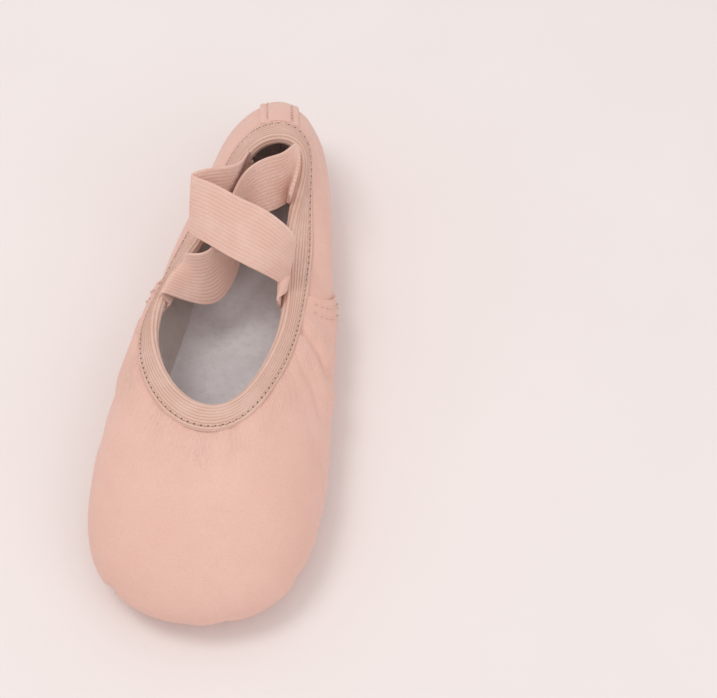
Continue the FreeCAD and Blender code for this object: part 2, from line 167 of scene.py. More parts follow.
def level_below(phi, depth):
    """Level of the points that lie this far below the opening's edge, measured on the surface."""
    levels = np.linspace(2.0, 0.6, 141)
    phi = np.atleast_1d(phi)
    points = upper_surface(phi[:, None], levels[None, :])
    steps = np.linalg.norm(np.diff(points, axis=1), axis=-1)
    travelled = np.concatenate([np.zeros((len(phi), 1)), np.cumsum(steps, axis=1)], axis=1)
    depth = np.broadcast_to(np.asarray(depth, float), (len(phi),) + np.shape(depth)[1:])
    out = np.empty(depth.shape)
    for i in range(len(phi)):
        out[i] = np.interp(depth[i], travelled[i], levels)
    return out


# ---------------------------------------------------------------- smooth random numbers
def hashed(ix, iy, seed):
    value = np.sin(ix * 127.1 + iy * 311.7 + seed * 74.7) * 43758.5453
    return value - np.floor(value)


def smooth_noise(x, y, seed):
    """Value noise from -1 to 1 with cells one unit wide."""
    ix, iy = np.floor(x), np.floor(y)
    fx, fy = x - ix, y - iy
    fx = fx * fx * (3 - 2 * fx)
    fy = fy * fy * (3 - 2 * fy)
    low = hashed(ix, iy, seed) * (1 - fx) + hashed(ix + 1, iy, seed) * fx
    high = hashed(ix, iy + 1, seed) * (1 - fx) + hashed(ix + 1, iy + 1, seed) * fx
    return (low * (1 - fy) + high * fy) * 2 - 1


def smoothstep(low, high, x):
    t = np.clip((x - low) / (high - low), 0, 1)
    return t * t * (3 - 2 * t)


def bump(x, width):
    return np.exp(-(x / width) ** 2)


# ---------------------------------------------------------------- making meshes
def mesh_object(name, points, faces, weave=None, sharp=None):
    """Mesh from points in millimetres. Each point keeps its place at rest, and its place along and
    across the cloth, as attributes that the materials read."""
    points = np.asarray(points, float).reshape(-1, 3)
    mesh = bpy.data.meshes.new(name)
    mesh.from_pydata((points * MM).tolist(), [], faces)
    place = mesh.attributes.new("place", "FLOAT_VECTOR", "POINT")
    place.data.foreach_set("vector", points.astype(np.float32).ravel())
    if weave is not None:
        cloth = mesh.attributes.new("weave", "FLOAT_VECTOR", "POINT")
        flat = np.zeros((len(points), 3), np.float32)
        flat[:, :weave.shape[-1]] = np.asarray(weave, np.float32).reshape(len(points), -1)
        cloth.data.foreach_set("vector", flat.ravel())
    mesh.polygons.foreach_set("use_smooth", [True] * len(mesh.polygons))
    if sharp is not None:
        mesh.set_sharp_from_angle(angle=np.radians(sharp))
    mesh.validate()
    mesh.update()
    piece = bpy.data.objects.new(name, mesh)
    bpy.context.scene.collection.objects.link(piece)
    return piece


def grid_faces(rows, columns, start=0, closed_rows=False, flip=False):
    faces = []
    for i in range(rows if closed_rows else rows - 1):
        for j in range(columns - 1):
            a = start + i * columns + j
            b = start + ((i + 1) % rows) * columns + j
            face = (a, b, b + 1, a + 1)
            faces.append(face[::-1] if flip else face)
    return faces


def shell(name, outer, inner, weave=None, closed_rows=False, sharp=50):
    """Closed sheet between two grids of points."""
    rows, columns = outer.shape[:2]
    count = rows * columns
    faces = grid_faces(rows, columns, 0, closed_rows)
    faces += grid_faces(rows, columns, count, closed_rows, flip=True)
    rim = []
    for i in range(rows if closed_rows else rows - 1):
        a, b = i * columns, ((i + 1) % rows) * columns
        rim.append((a, a + count, b + count, b))
        a, b = a + columns - 1, b + columns - 1
        rim.append((a, b, b + count, a + count))
    if not closed_rows:
        last = (rows - 1) * columns
        for j in range(columns - 1):
            rim.append((j, j + 1, j + 1 + count, j + count))
            rim.append((last + j, last + j + count, last + j + 1 + count, last + j + 1))
    points = np.concatenate([outer.reshape(-1, 3), inner.reshape(-1, 3)])
    if weave is not None:
        weave = np.concatenate([weave.reshape(count, -1)] * 2)
    return mesh_object(name, points, faces + rim, weave, sharp)


def resample(line, count):
    """The same line of points at even spacing, with its length."""
    lengths = np.concatenate([[0], np.cumsum(np.linalg.norm(np.diff(line, axis=0), axis=1))])
    at = np.linspace(0, lengths[-1], count)
    return np.stack([np.interp(at, lengths, line[:, k]) for k in range(3)], -1), lengths[-1]


STITCH_RINGS = 9
STITCH_SIDES = 8


def stitch_points(start, end, normal, radius, rise):
    """One stitch: a short rounded thread that dips into the surface at both ends."""
    along = end - start
    side = unit(np.cross(along, normal))
    share = np.linspace(0, 1, STITCH_RINGS)
    arch = np.sin(share * PI)
    centre = start + along * share[:, None] + normal * (rise * arch - radius * 0.9 * (1 - arch))[:, None]
    girth = radius * (0.55 + 0.45 * arch)
    angle = np.linspace(0, 2 * PI, STITCH_SIDES, endpoint=False)
    ring = side * np.cos(angle)[:, None] + normal * np.sin(angle)[:, None]
    return centre[:, None, :] + ring[None] * girth[:, None, None]


def stitches(name, rows, pitch, fill, radius, rise):
    """Rows of stitches as one mesh. Each row is its points and the surface's normals there."""
    points = []
    faces = []
    weave = []
    holes = []
    for line, normals in rows:
        count = int(np.linalg.norm(np.diff(line, axis=0), axis=1).sum() / pitch)
        even, _ = resample(line, count * 8 + 1)
        even_normals = unit(resample(normals, count * 8 + 1)[0])
        for i in range(count):
            middle = even[i * 8 + 4]
            step = even[i * 8 + 8] - even[i * 8]
            normal = even_normals[i * 8 + 4]
            base = len(points) * STITCH_RINGS * STITCH_SIDES
            ring = stitch_points(middle - step * fill / 2, middle + step * fill / 2, normal, radius, rise)
            points.append(ring)
            holes.append((even[i * 8], even_normals[i * 8], unit(step)))
            length = np.linalg.norm(step) * fill
            weave.append(np.stack(np.meshgrid(np.linspace(0, length, STITCH_RINGS),
                                              np.linspace(0, 1, STITCH_SIDES), indexing="ij"), -1))
            for a in range(STITCH_RINGS - 1):
                for b in range(STITCH_SIDES):
                    c = (b + 1) % STITCH_SIDES
                    faces.append((base + a * STITCH_SIDES + b, base + (a + 1) * STITCH_SIDES + b,
                                  base + (a + 1) * STITCH_SIDES + c, base + a * STITCH_SIDES + c))
            faces.append(tuple(base + b for b in range(STITCH_SIDES)))
            top = base + (STITCH_RINGS - 1) * STITCH_SIDES
            faces.append(tuple(top + b for b in reversed(range(STITCH_SIDES))))
    piece = mesh_object(name, np.array(points), faces, np.array(weave))
    return piece, holes


def stitch_holes(name, holes, radius):
    """Needle holes between the stitches: small pits painted dark for the shade inside them, as flattened
    beads sunk in the surface.
    """
    points = []
    faces = []
    sides = 8
    rings = ((0.0, 1.0), (0.75, 0.65), (1.0, 0.0), (0.75, -0.65), (0.0, -1.0))
    for place, normal, along in holes:
        base = len(points)
        side = np.cross(normal, along)
        for spread_out, height in rings[1:-1]:
            for k in range(sides):
                angle = 2 * PI * k / sides
                flat = along * np.cos(angle) + side * np.sin(angle) * 0.8
                points.append(place + (flat * spread_out + normal * height * 0.25) * radius)
        for height in (0.25, -0.25):
            points.append(place + normal * height * radius)
        top, bottom = base + 3 * sides, base + 3 * sides + 1
        for k in range(sides):
            n = (k + 1) % sides
            faces.append((base + k, base + n, top))
            for ring in (0, 1):
                a = base + ring * sides
                faces.append((a + k, a + sides + k, a + sides + n, a + n))
            faces.append((base + 2 * sides + n, base + 2 * sides + k, bottom))
    return mesh_object(name, np.array(points), faces)


# ---------------------------------------------------------------- materials
def rgb(red, green, blue):
    """Display colour, 0 to 255, as the linear colour that shaders take."""
    channels = np.array([red, green, blue]) / 255
    linear = np.where(channels <= 0.04045, channels / 12.92, ((channels + 0.055) / 1.055) ** 2.4)
    return tuple(float(v) for v in linear) + (1.0,)


class Paint:
    """A material's nodes. Lengths are in millimetres on the cloth or in the slipper's own frame."""

    def __init__(self, name, roughness, sheen=0.0, on_node=False, **settings):
        self.material = bpy.data.materials.new(name)
        self.material.use_nodes = True
        self.nodes = self.material.node_tree.nodes
        self.links = self.material.node_tree.links
        self.shader = self.nodes["Principled BSDF"]
        self.shader.inputs["Roughness"].default_value = roughness
        self.shader.inputs["Sheen Weight"].default_value = sheen
        self.shader.inputs["Sheen Roughness"].default_value = 0.5
        for label, value in settings.items():
            self.shader.inputs[label.replace("_", " ")].default_value = value
        if on_node:
            place = self.nodes.new("ShaderNodeTexCoord").outputs["Object"]
            self.place = self.scaled(place, (1 / MM,) * 3)
        else:
            self.place = self.attribute("place")
        self.bumps = None

    def attribute(self, name):
        node = self.nodes.new("ShaderNodeAttribute")
        node.attribute_name = name
        return node.outputs["Vector"]

    def put(self, socket, value):
        if isinstance(value, bpy.types.NodeSocket):
            self.links.new(value, socket)
        else:
            socket.default_value = value

    def scaled(self, vector, factors):
        node = self.nodes.new("ShaderNodeVectorMath")
        node.operation = "MULTIPLY"
        self.put(node.inputs[0], vector)
        node.inputs[1].default_value = factors
        return node.outputs[0]

    def math(self, operation, first, second=0.0, third=0.0):
        node = self.nodes.new("ShaderNodeMath")
        node.operation = operation
        self.put(node.inputs[0], first)
        self.put(node.inputs[1], second)
        self.put(node.inputs[2], third)
        return node.outputs[0]

    def noise(self, size, detail=3.0, vector=None, rough=0.55):
        """Noise from 0 to 1 with features about this many millimetres wide."""
        node = self.nodes.new("ShaderNodeTexNoise")
        self.put(node.inputs["Vector"], vector or self.place)
        node.inputs["Scale"].default_value = 1 / size
        node.inputs["Detail"].default_value = detail
        node.inputs["Roughness"].default_value = rough
        return node.outputs["Fac"]

    def cell_edges(self, size):
        """Distance from the edges of irregular cells about this many millimetres wide."""
        node = self.nodes.new("ShaderNodeTexVoronoi")
        node.feature = "DISTANCE_TO_EDGE"
        self.put(node.inputs["Vector"], self.place)
        node.inputs["Scale"].default_value = 1 / size
        return node.outputs["Distance"]

    def stretch(self, value, low, high, to_low=0.0, to_high=1.0):
        node = self.nodes.new("ShaderNodeMapRange")
        node.interpolation_type = "SMOOTHSTEP"
        self.put(node.inputs["Value"], value)
        for label, number in (("From Min", low), ("From Max", high), ("To Min", to_low), ("To Max", to_high)):
            node.inputs[label].default_value = number
        return node.outputs["Result"]

    def wave(self, coordinate, period, shift=0.0):
        """0 to 1 and back once per period."""
        turn = self.math("MULTIPLY_ADD", coordinate, 2 * PI / period, shift)
        return self.math("MULTIPLY_ADD", self.math("SINE", turn), 0.5, 0.5)

    def split(self, vector):
        node = self.nodes.new("ShaderNodeSeparateXYZ")
        self.put(node.inputs[0], vector)
        return node.outputs

    def mix(self, amount, first, second):
        node = self.nodes.new("ShaderNodeMix")
        node.data_type = "RGBA"
        self.put(node.inputs["Factor"], amount)
        self.put(node.inputs[6], first)
        self.put(node.inputs[7], second)
        return node.outputs[2]

    def colour(self, value):
        self.put(self.shader.inputs["Base Color"], value)

    def roughness(self, value):
        self.put(self.shader.inputs["Roughness"], value)

    def bump(self, height, depth, strength=1.0):
        """Adds relief this many millimetres deep."""
        node = self.nodes.new("ShaderNodeBump")
        node.inputs["Strength"].default_value = strength
        node.inputs["Distance"].default_value = depth * MM
        self.put(node.inputs["Height"], height)
        if self.bumps is not None:
            self.put(node.inputs["Normal"], self.bumps)
        self.bumps = node.outputs["Normal"]
        self.put(self.shader.inputs["Normal"], self.bumps)


def leather_paint():
    paint = Paint("leather", 0.5, sheen=0.12, Specular_IOR_Level=0.42)
    clouds = paint.stretch(paint.noise(24, 3), 0.3, 0.7)
    tone = paint.mix(clouds, rgb(232, 187, 171), rgb(236, 193, 178))
    blotches = paint.stretch(paint.noise(5, 3), 0.45, 0.75, 0, 0.25)
    tone = paint.mix(blotches, tone, rgb(227, 180, 164))
    grain = paint.cell_edges(0.55)
    # Painted shade: the tone darkens along the grain's creases, where the grain bump below is lowest.
    grain_crease_shade = paint.stretch(grain, 0.0, 0.14, 0.28, 0.0)
    tone = paint.mix(grain_crease_shade, tone, rgb(205, 156, 141))
    paint.colour(tone)
    paint.roughness(paint.stretch(paint.noise(3, 4), 0.3, 0.7, 0.44, 0.6))
    cloth = paint.attribute("weave")
    lines = paint.noise(2.1, 4, vector=paint.scaled(cloth, (1.0, 0.34, 0.0)), rough=0.68)
    deep = paint.stretch(lines, 0.36, 0.62)
    amount = paint.split(cloth)[2]
    paint.bump(paint.math("MULTIPLY", deep, amount), 0.24)
    paint.bump(paint.stretch(grain, 0.0, 0.2), 0.035, 0.8)
    paint.bump(paint.noise(0.9, 5, rough=0.65), 0.09, 0.6)
    paint.bump(paint.noise(5, 3), 0.25, 0.5)
    return paint.material


def elastic_paint(name, tone, groove_shade_and_fibre, pale, rib_pitch, rib_shift, rough):
    """Ribbed elastic: lengthwise ribs with fine threads wound across them, with painted shade darkening the
    grooves between the ribs.
    """
    paint = Paint(name, rough, sheen=0.25, Specular_IOR_Level=0.3)
    cloth = paint.split(paint.attribute("weave"))
    along, across = cloth[0], cloth[1]
    rib = paint.wave(across, rib_pitch, rib_shift)
    weft = paint.wave(along, 0.42)
    other = paint.wave(along, 0.42, PI)
    wound = paint.mix(paint.stretch(rib, 0.35, 0.65), paint.mix(0.5, other, weft), weft)
    # Painted shade: the colour darkens towards the groove shade tone in the grooves between the ribs.
    base = paint.mix(paint.stretch(rib, 0.0, 0.7), groove_shade_and_fibre, tone)
    base = paint.mix(paint.stretch(weft, 0.2, 1.0, 0.0, 0.22), base, pale)
    base = paint.mix(paint.stretch(paint.noise(7, 4), 0.4, 0.7, 0, 0.3), base, pale)
    fibres = paint.noise(0.35, 3, vector=paint.scaled(paint.attribute("weave"), (0.45, 1.6, 1.0)))
    # Darker fibres scattered at random, in the same tone as the painted groove shade.
    base = paint.mix(paint.stretch(fibres, 0.45, 0.75, 0, 0.35), base, groove_shade_and_fibre)
    paint.colour(base)
    paint.bump(wound, 0.07, 0.9)
    paint.bump(fibres, 0.06, 0.6)
    paint.bump(paint.noise(2.5, 2), 0.12, 0.5)
    return paint.material


def thread_paint(name, light, dark):
    """Two plies twisted together, with painted shade in the groove between the plies."""
    paint = Paint(name, 0.6, sheen=0.2)
    cloth = paint.split(paint.attribute("weave"))
    twist = paint.math("MULTIPLY_ADD", cloth[1], 1.0, cloth[0])
    ply = paint.wave(twist, 0.5)
    # Painted shade: the same wave sets the ply bump and the colour, dark where the bump is low between the
    # plies.
    paint.colour(paint.mix(ply, dark, light))
    paint.bump(ply, 0.08)
    paint.bump(paint.noise(0.25, 3), 0.03, 0.6)
    return paint.material


def suede_paint(name, light, dark, worn, nap, on_node=False):
    """Napped leather or felted cloth: fuzzy, matt and blotchy, with painted shade in the hollows of the nap.
    """
    paint = Paint(name, 0.92, sheen=0.35, on_node=on_node, Specular_IOR_Level=0.2)
    base = paint.mix(paint.stretch(paint.noise(11, 5, rough=0.62), 0.36, 0.66), dark, light)
    base = paint.mix(paint.stretch(paint.noise(2.2, 5, rough=0.7), 0.45, 0.72, 0, 0.6), base, worn)
    fuzz = paint.noise(nap, 4, rough=0.75)
    # Painted shade: the colour goes towards the dark tone where the nap's bump is low.
    base = paint.mix(paint.stretch(fuzz, 0.3, 0.75, 0.35, 0), base, dark)
    paint.colour(base)
    paint.bump(fuzz, 0.12, 0.8)
    paint.bump(paint.noise(3.2, 4), 0.2, 0.5)
    return paint.material


def cloth_paint(name, light, dark, pitch):
    """Plain weave, with painted shade where the threads dip under one another."""
    paint = Paint(name, 0.9, sheen=0.2, Specular_IOR_Level=0.2)
    cloth = paint.split(paint.attribute("weave"))
    warp = paint.wave(cloth[0], pitch)
    weft = paint.wave(cloth[1], pitch)
    over = paint.math("MULTIPLY", warp, weft)
    under = paint.math("MULTIPLY", paint.math("SUBTRACT", 1.0, warp), paint.math("SUBTRACT", 1.0, weft))
    height = paint.math("ADD", over, under)
    # Painted shade: darker where the weave's bump is low, between the threads.
    base = paint.mix(paint.stretch(height, 0.0, 0.7), dark, light)
    base = paint.mix(paint.stretch(paint.noise(6, 4), 0.4, 0.7, 0, 0.4), base, dark)
    paint.colour(base)
    paint.bump(height, 0.1, 0.9)
    paint.bump(paint.noise(0.6, 4), 0.06, 0.6)
    return paint.material


def plain_paint(name, light, dark, rough, size, depth, on_node=False):
    """Board, foam and pits: a mottled tone with small relief, darker in the relief's hollows as painted
    shade.
    """
    paint = Paint(name, rough, on_node=on_node)
    grain = paint.noise(size, 4)
    # Painted shade: one noise sets both the relief and the tone, darker where the relief is low.
    paint.colour(paint.mix(paint.stretch(grain, 0.3, 0.7), dark, light))
    paint.bump(grain, depth)
    return paint.material


def foil_paint():
    """Stamped gold foil, rubbed through in places."""
    paint = Paint("gold_foil", 0.38, Metallic=0.75)
    rubbed = paint.stretch(paint.noise(0.8, 5, rough=0.7), 0.5, 0.68, 0, 0.7)
    paint.colour(paint.mix(rubbed, rgb(196, 158, 92), rgb(186, 150, 130)))
    paint.roughness(paint.stretch(paint.noise(0.8, 3), 0.3, 0.7, 0.3, 0.55))
    paint.bump(paint.noise(0.5, 3), 0.04)
    return paint.material


RIB_PITCH = 1.0
STRAP_RIBS = 15
STRAP_RIB_PITCH = STRAP_WIDTH / STRAP_RIBS
LEATHER_PAINT = leather_paint()
# The third colour of each elastic is the painted shade in its rib grooves, also used for its darker fibres.
BINDING_PAINT = elastic_paint("binding_elastic", rgb(229, 190, 173), rgb(196, 153, 135),
                              rgb(236, 208, 196), RIB_PITCH, 0.0, 0.7)
STRAP_PAINT = elastic_paint("strap_elastic", rgb(232, 190, 174), rgb(221, 178, 161),
                            rgb(243, 213, 201), STRAP_RIB_PITCH, PI / 2, 0.75)
# The second colour of each thread is the painted shade between its plies.
UPPER_THREAD = thread_paint("upper_thread", rgb(240, 205, 190), rgb(205, 162, 146))
SOLE_THREAD = thread_paint("sole_thread", rgb(226, 205, 190), rgb(176, 150, 135))
# The second colour of each napped material is its darker mottled tone, also used as the painted shade in the
# nap's hollows.
SOLE_PAINT = suede_paint("sole_suede", rgb(210, 184, 171), rgb(192, 163, 149), rgb(203, 172, 158), 0.35)
SOCK_PAINT = suede_paint("sock_cloth", rgb(244, 239, 240), rgb(232, 225, 226), rgb(216, 208, 209), 0.3)
# The lining's second colour is the painted shade between its threads, also its darker mottled tone.
LINING_PAINT = cloth_paint("lining_cloth", rgb(222, 208, 203), rgb(190, 175, 169), 0.7)
# The second colour of board and foam is the painted shade in their relief's hollows.
BOARD_PAINT = plain_paint("board", rgb(176, 158, 140), rgb(150, 132, 116), 0.85, 0.8, 0.05)
FOAM_PAINT = plain_paint("foam", rgb(236, 228, 212), rgb(214, 204, 186), 0.95, 0.5, 0.15)
STIFFENER_PAINT = plain_paint("stiffener_board", rgb(176, 158, 140), rgb(150, 132, 116), 0.85, 0.8,
                              0.05, on_node=True)
# Painted shade: the needle holes are coloured dark brown for the shade inside each hole.
HOLE_SHADE_PAINT = plain_paint("needle_hole", rgb(140, 98, 84), rgb(104, 70, 58), 0.9, 0.3, 0.05)
FOIL_PAINT = foil_paint()


def finish_piece(piece, material, nodes=(), body=None):
    """Gives a piece its material and hides the CAD solids it stands for. Without a body of its own its
    transform is baked where it stands."""
    piece.data.materials.append(material)
    if nodes:
        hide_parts(*nodes)
    if body:
        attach(piece, body)
    else:
        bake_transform(piece)


def sew(thread_name, holes_name, rows, pitch, fill, radius, rise, hole_radius, body=None):
    """Rows of stitches with a needle hole between each two."""
    thread, holes = stitches(thread_name, rows, pitch, fill, radius, rise)
    finish_piece(thread, UPPER_THREAD, [thread_name], body)
    pits = stitch_holes(holes_name, holes, hole_radius)
    finish_piece(pits, HOLE_SHADE_PAINT, (), body)


# ---------------------------------------------------------------- upper
BINDING_OUTER = 7.5
BINDING_INNER = 6.0
PLEATS = 15
PLEAT_SPREAD = np.radians(66)
PLEAT_DEPTH = 1.5
HEEL_PLEATS = 9
HEEL_PLEAT_SPREAD = np.radians(44)
HEEL_PLEAT_DEPTH = 0.6
OVERLAP = 6.0
OVERLAP_RISE = 1.05
WRINKLE_DEPTH = 0.42
TUCKS = ((-0.42, 1.1, 2.0), (0.2, 0.5, 1.8), (0.62, 0.6, 2.2))
EDGE_PUFF = 0.55


def rounded_pleats(turn, level, count, spread_out, depth, reach, seed):
    """Gathers drawn in under the foot: round ridges with sharp valleys, each of its own length."""
    pitch = 2 * spread_out / count
    wander = 0.16 * smooth_noise(turn / pitch * 0.7, level * 2.0, seed)
    number = turn / pitch + wander
    ridge = np.abs(np.sin(number * PI)) ** 0.75
    own_reach = reach * (0.75 + 0.45 * hashed(np.floor(number), 0.0, seed + 1))
    fade = smoothstep(0.0, 0.12, level) * (1 - smoothstep(0.25 * own_reach, own_reach, level))
    edge = 1 - smoothstep(0.72 * spread_out, spread_out, np.abs(turn))
    return depth * (ridge - 0.42) * fade * edge


def girth_turns(phi, level):
    """Lengths round and up the wall, in millimetres, for patterns of even size."""
    return phi * MM_PER_TURN, level * MM_PER_LEVEL


def leather_relief(phi, level, below):
    """How far the leather stands off its plain surface, in millimetres."""
    around, upward = girth_turns(phi, level)
    on_wall = smoothstep(0.1, 0.5, level)
    relief = 0.34 * smooth_noise(around / 17, upward / 15, 11) * on_wall
    relief += 0.16 * smooth_noise(around / 7, upward / 8, 12) * on_wall
    relief += rounded_pleats(phi, level, PLEATS, PLEAT_SPREAD, PLEAT_DEPTH, 1.0, 21)
    heel_turn = np.mod(phi, 2 * PI) - PI
    relief += rounded_pleats(heel_turn, level, HEEL_PLEATS, HEEL_PLEAT_SPREAD, HEEL_PLEAT_DEPTH, 0.8, 31)
    for turn, depth, width in TUCKS:
        line = (phi - turn - 0.05 * smooth_noise(level * 4, turn, 43)) * MM_PER_TURN
        on_tuck = smoothstep(0.15, 0.5, level) * (1 - smoothstep(0.95, 1.12, level))
        relief -= depth * bump(line, width) * on_tuck
    near_binding = smoothstep(4.0, 8.0, below) * (1 - smoothstep(10.0, 22.0, below))
    fold_lines = np.sin(around / 3.1 + 2.2 * smooth_noise(around / 9, upward / 20, 41))
    throat = 0.35 + 0.65 * bump(phi, 0.9)
    strength = 0.5 + 0.5 * smooth_noise(around / 6, 0.5, 42)
    relief += WRINKLE_DEPTH * fold_lines * near_binding * throat * strength
    relief += EDGE_PUFF * bump(below - 12.0, 4.0)
    return relief


# Folds in front of a side seam: distance from it, depth (less than nothing is a ridge) and width.
SEAM_FOLDS = ((8.3, -0.9, 1.5), (11.5, 1.25, 0.8), (14.7, -0.9, 1.8), (19.5, 0.7, 1.5), (25.5, 0.4, 2.4))


def seam_creases(phi, level):
    """Pinched folds that run up the wall a little in front of each side seam."""
    distance = (side_seam(level) - np.abs(phi)) * 40.0
    wall = smoothstep(0.9, 1.15, level) * (1 - smoothstep(1.75, 1.95, level))
    sway = 2.5 * smooth_noise(level * 3.0, np.sign(phi), 51)
    folds = 0.0
    for place, depth, width in SEAM_FOLDS:
        folds = folds - depth * bump(distance - place - sway, width)
    return folds * wall


def wrinkling(phi, level, below):
    """Where fine wrinkles run: round the binding, most at the throat, and by the side seams."""
    around, upward = girth_turns(phi, level)
    patchy = 0.55 + 0.45 * smooth_noise(around / 8, upward / 12, 45)
    near = smoothstep(5.0, 7.5, below) * (1 - smoothstep(12.0, 26.0, below))
    sides = bump((side_seam(level) - np.abs(phi)) * 40.0 - 14.0, 14.0) * smoothstep(0.8, 1.2, level)
    return np.clip((near * (0.45 + 0.55 * bump(phi, 1.0)) + 0.7 * sides) * patchy, 0, 1)


def arc_below(phi, level):
    """Distance down the surface from the opening's edge, in millimetres."""
    steps = np.linspace(0.6, 2.0, 57)
    stations = np.linspace(-PI, PI, 121)
    points = upper_surface(stations[:, None], steps[None, :])
    lengths = np.linalg.norm(np.diff(points, axis=1), axis=-1)
    below = np.concatenate([np.cumsum(lengths[:, ::-1], axis=1)[:, ::-1], np.zeros((121, 1))], axis=1)
    column = np.clip((level - 0.6) / 1.4 * 56, 0, 55.999)
    row = np.mod((phi + PI) / (2 * PI) * 120, 120)
    i, j = np.floor(row).astype(int), np.floor(column).astype(int)
    a, b = row - i, column - j
    k = np.minimum(i + 1, 120)
    table = (below[i, j] * (1 - a) * (1 - b) + below[k, j] * a * (1 - b)
             + below[i, j + 1] * (1 - a) * b + below[k, j + 1] * a * b)
    return np.where(level < 0.6, table + (0.6 - level) * 25, table)


def wall_levels(low, middle, high):
    return np.concatenate([np.linspace(-1, 0, low, endpoint=False), np.linspace(0, 1, middle, endpoint=False),
                           np.linspace(1, 2, high)])


levels = wall_levels(8, 56, 96)
share = np.linspace(-1, 1, 441)
level_grid = np.broadcast_to(levels[None, :], (len(share), len(levels)))
phi_grid = share[:, None] * (side_seam(level_grid) - SEAM_GAP)
below = arc_below(phi_grid, level_grid)
relief = leather_relief(phi_grid, level_grid, below) + seam_creases(phi_grid, level_grid)
from_edge = (1 - np.abs(share[:, None])) * 70.0
over = (1 - smoothstep(OVERLAP * 0.8, OVERLAP * 1.6, from_edge)) * smoothstep(0.05, 0.35, level_grid)
over = over * smoothstep(6.0, 9.0, below)
under_binding = smoothstep(5.0, 9.0, below)
relief = relief * under_binding * (1 - 0.7 * over) + OVERLAP_RISE * over
edge_curl = bump(from_edge, 0.7) * 0.15 * over
outer = layer(phi_grid, level_grid, -(relief - edge_curl))
inner = layer(phi_grid, level_grid, LEATHER - relief)
around, upward = girth_turns(phi_grid, level_grid)
creased = wrinkling(phi_grid, level_grid, below)
vamp = shell("vamp", outer, inner, np.stack([around, upward, creased], -1))
finish_piece(vamp, LEATHER_PAINT, ["vamp"])

share = np.linspace(0, 1, 181)
level_grid = np.broadcast_to(levels[None, :], (len(share), len(levels)))
for side, sign in (("right", 1), ("left", -1)):
    below_edge = arc_below(side_seam(level_grid), level_grid)
    tuck = np.radians(7.0) * smoothstep(0.1, 0.4, level_grid) * smoothstep(8.0, 10.5, below_edge)
    start = side_seam(level_grid) + SEAM_GAP - tuck
    phi_grid = start + (PI - SEAM_GAP - start) * share[:, None]
    clear = smoothstep(0.0, np.radians(9), phi_grid - side_seam(level_grid))
    phi_grid = phi_grid * sign
    below = arc_below(phi_grid, level_grid)
    relief = leather_relief(phi_grid, level_grid, below) * smoothstep(5.0, 9.0, below) * clear
    behind = bump((np.abs(phi_grid) - PI) * 36.0, 7.5) * smoothstep(0.3, 0.4, level_grid)
    relief = relief * (1 - behind) - 0.05 * (1 - clear)
    outer = layer(phi_grid, level_grid, -relief)
    inner = layer(phi_grid, level_grid, LEATHER - relief)
    around, upward = girth_turns(phi_grid, level_grid)
    weave = np.stack([around, upward, wrinkling(phi_grid, level_grid, below)], -1)
    if sign < 0:
        outer, inner, weave = outer[::-1], inner[::-1], weave[::-1]
    quarter = shell("quarter_" + side, outer, inner, weave)
    finish_piece(quarter, LEATHER_PAINT, ["quarter_" + side], "rearfoot")


# ---------------------------------------------------------------- linings
LINING = 0.5
LINING_LEVELS = np.linspace(0.28, 1.99, 64)


def lining(name, start_at, end_at, count):
    share = np.linspace(0, 1, count)[:, None]
    level = np.broadcast_to(LINING_LEVELS[None, :], (count, len(LINING_LEVELS)))
    start, end = start_at(level), end_at(level)
    phi = start + (end - start) * share
    around, upward = girth_turns(phi, level)
    ripple = 0.09 * smooth_noise(around / 9, upward / 9, 61)
    outer = layer(phi, level, LINING_DEPTH + 0.05 + ripple * 0.5)
    inner = layer(phi, level, LINING_DEPTH + LINING + ripple * 0.5)
    return shell(name, outer, inner, np.stack([around, upward], -1))


def seam_line(level):
    return side_seam(level) - LINING_SEAM_GAP


piece = lining("vamp_lining", lambda level: -seam_line(level), seam_line, 241)
finish_piece(piece, LINING_PAINT, ["vamp_lining"])
piece = lining("quarter_lining_right", lambda level: side_seam(level) + LINING_SEAM_GAP,
               lambda level: PI - SEAM_GAP + 0 * level, 121)
finish_piece(piece, LINING_PAINT, ["quarter_lining_right"], "rearfoot")
piece = lining("quarter_lining_left", lambda level: -PI + SEAM_GAP + 0 * level,
               lambda level: -side_seam(level) - LINING_SEAM_GAP, 121)
finish_piece(piece, LINING_PAINT, ["quarter_lining_left"], "rearfoot")


# ---------------------------------------------------------------- layers under the foot
DEEP = 7.0
SPINE = 9.0
PLATE_POINTS = 480


def plate_point(phi, inset, height, spread_out):
    """Point on a flat layer. Insets past DEEP run in to the middle line, reached at SPINE."""
    x, y = outline(SOLE, phi, np.minimum(inset, DEEP))
    wide_x, wide_y = outline(GIRTH, phi)
    narrow_x, narrow_y = outline(SOLE, phi)
    x = x + (wide_x - narrow_x) * spread_out
    y = y + (wide_y - narrow_y) * spread_out
    inward = np.clip((inset - DEEP) / (SPINE - DEEP), 0, 1)
    return np.stack([x * (1 - inward), y * (1 - 0.2 * inward), height + 0 * x], -1)


def plate(name, profile, spread_out=0.0, relief=None):
    """Flat layer whose section runs from its middle line over the top, round its edge and back
    underneath. The profile gives the inset and the height of each step."""
    phi = np.linspace(-PI, PI, PLATE_POINTS, endpoint=False)
    inset, height = (np.array(column) for column in zip(*profile))
    phi_grid, inset_grid = np.broadcast_arrays(phi[:, None], inset[None, :])
    points = plate_point(phi_grid, inset_grid, height[None, :], spread_out)
    if relief is not None:
        points[..., 2] += relief(points, inset_grid)
    faces = grid_faces(PLATE_POINTS, len(profile), closed_rows=True)
    piece = mesh_object(name, points, faces, points[..., :2])
    mesh = bmesh.new()
    mesh.from_mesh(piece.data)
    bmesh.ops.remove_doubles(mesh, verts=mesh.verts, dist=0.002 * MM)
    bmesh.ops.recalc_face_normals(mesh, faces=mesh.faces)
    mesh.to_mesh(piece.data)
    mesh.free()
    piece.data.set_sharp_from_angle(angle=np.radians(55))
    return piece


